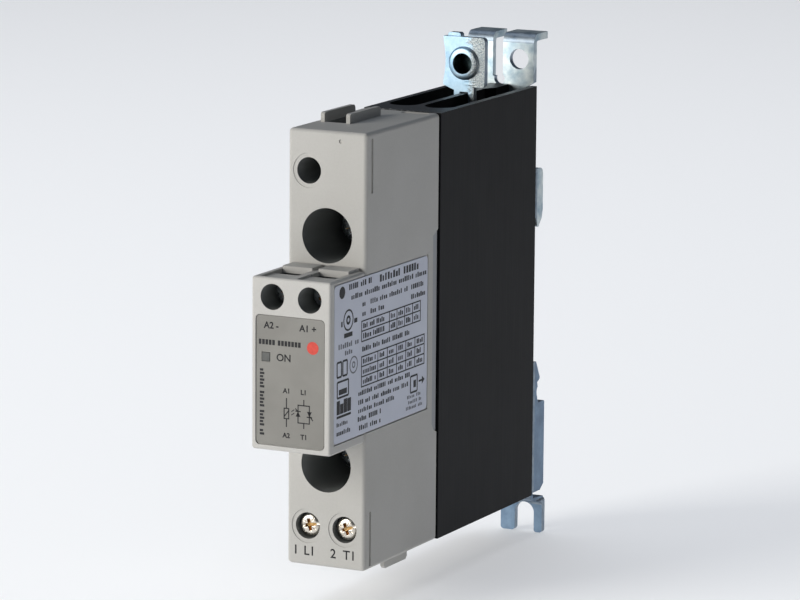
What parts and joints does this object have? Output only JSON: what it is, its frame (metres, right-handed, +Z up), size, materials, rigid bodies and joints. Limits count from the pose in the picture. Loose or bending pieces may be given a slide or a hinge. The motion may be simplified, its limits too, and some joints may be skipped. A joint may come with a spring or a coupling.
{
  "type": "solid state relay",
  "caption": "Slim solid state relay: grey moulded housing with a projecting control block on a black finned heatsink, with zinc rail clip, sprung latch and earth plate.",
  "frame": {"origin": "centre of the 35 mm rail on the heatsink's rear face", "axes": "+X right seen from the front, +Y back towards the rail, +Z up"},
  "size_m": [0.0178, 0.1035, 0.1123],
  "materials": {
    "housing": "fine moulded texture, light warm grey",
    "inner_plastic": "moulded mid grey",
    "dark_plastic": "moulded dark grey",
    "front_label": "printed film, grey beige",
    "rating_label": "printed film, bluish grey",
    "heatsink": "black anodised extrusion",
    "zinc": "zinc plated, blue passivated",
    "spring_steel": "drawn wire",
    "nickel": "nickel plated",
    "copper": "tinned copper strip",
    "thermal_pad": "filled silicone",
    "ceramic": "fired alumina, stood in by plastic",
    "chip": "passivated silicon",
    "circuit_board": "solder resist",
    "resin": "dipped resin",
    "led": "tinted epoxy"
  },
  "bodies": {
    "relay_body": {"housing": "housing", "control_cover": "housing", "base_frame": "inner_plastic", "front_label": "front_label", "rating_label": "rating_label", "led_window": "dark_plastic", "heatsink": "heatsink", "clip_plate": "zinc", "earth_terminal": "zinc", "clip_screw_upper": "zinc", "clip_screw_lower": "zinc", "latch_rivet_upper": "zinc", "latch_rivet_lower": "zinc", "latch_spring": "spring_steel", "power_busbar_left": "copper", "power_busbar_right": "copper", "control_contact_left": "copper", "control_contact_right": "copper", "module_screw_upper": "zinc", "module_screw_lower": "zinc", "spring_washer_upper": "zinc", "spring_washer_lower": "zinc", "flat_washer_upper": "zinc", "flat_washer_lower": "zinc", "thermal_pad": "thermal_pad", "ceramic_substrate": "ceramic", "thyristor_left": "chip", "thyristor_right": "chip", "control_board": "circuit_board", "optocoupler": "dark_plastic", "snubber_capacitor": "resin", "snubber_resistor": "resin", "indicator_led": "led", "gate_pin_left": "nickel", "gate_pin_right": "nickel"},
    "power_screw_left": {"power_screw_left": "nickel"},
    "power_screw_right": {"power_screw_right": "nickel"},
    "power_clamp_left": {"power_clamp_left": "zinc"},
    "power_clamp_right": {"power_clamp_right": "zinc"},
    "control_screw_left": {"control_screw_left": "nickel"},
    "control_screw_right": {"control_screw_right": "nickel"},
    "control_clamp_left": {"control_clamp_left": "zinc"},
    "control_clamp_right": {"control_clamp_right": "zinc"},
    "rail_latch": {"rail_latch": "zinc"}
  },
  "joints": [
    {"name": "power_screw_left_turn", "type": "hinge", "parent": "relay_body", "child": "power_screw_left", "pos_m": [-0.0042, -0.0805, -0.03675], "axis": [0, 1, 0], "range_deg": [0, 1800]},
    {"name": "power_clamp_left_slide", "type": "slide", "parent": "relay_body", "child": "power_clamp_left", "axis": [0, -1, 0], "range_m": [0, 0.0035]},
    {"name": "control_screw_left_turn", "type": "hinge", "parent": "relay_body", "child": "control_screw_left", "pos_m": [-0.0042, -0.0905, 0.0132], "axis": [0, 1, 0], "range_deg": [0, 720]},
    {"name": "control_clamp_left_slide", "type": "slide", "parent": "relay_body", "child": "control_clamp_left", "axis": [0, -1, 0], "range_m": [0, 0.001]},
    {"name": "power_screw_right_turn", "type": "hinge", "parent": "relay_body", "child": "power_screw_right", "pos_m": [0.0042, -0.0805, -0.03675], "axis": [0, 1, 0], "range_deg": [0, 1800]},
    {"name": "power_clamp_right_slide", "type": "slide", "parent": "relay_body", "child": "power_clamp_right", "axis": [0, -1, 0], "range_m": [0, 0.0035]},
    {"name": "control_screw_right_turn", "type": "hinge", "parent": "relay_body", "child": "control_screw_right", "pos_m": [0.0042, -0.0905, 0.0132], "axis": [0, 1, 0], "range_deg": [0, 720]},
    {"name": "control_clamp_right_slide", "type": "slide", "parent": "relay_body", "child": "control_clamp_right", "axis": [0, -1, 0], "range_m": [0, 0.001]},
    {"name": "rail_latch_slide", "type": "slide", "parent": "relay_body", "child": "rail_latch", "axis": [0, 0, -1], "range_m": [0, 0.003], "stiffness_N_per_m": 1500, "springref_m": -0.002, "deforming": ["latch_spring"]}
  ],
  "couplings": [
    {"joint": "power_screw_left_turn", "follows": "power_clamp_left_slide", "rad_per_m": 8975.9},
    {"joint": "control_screw_left_turn", "follows": "control_clamp_left_slide", "rad_per_m": 12566},
    {"joint": "power_screw_right_turn", "follows": "power_clamp_right_slide", "rad_per_m": 8975.9},
    {"joint": "control_screw_right_turn", "follows": "control_clamp_right_slide", "rad_per_m": 12566}
  ]
}
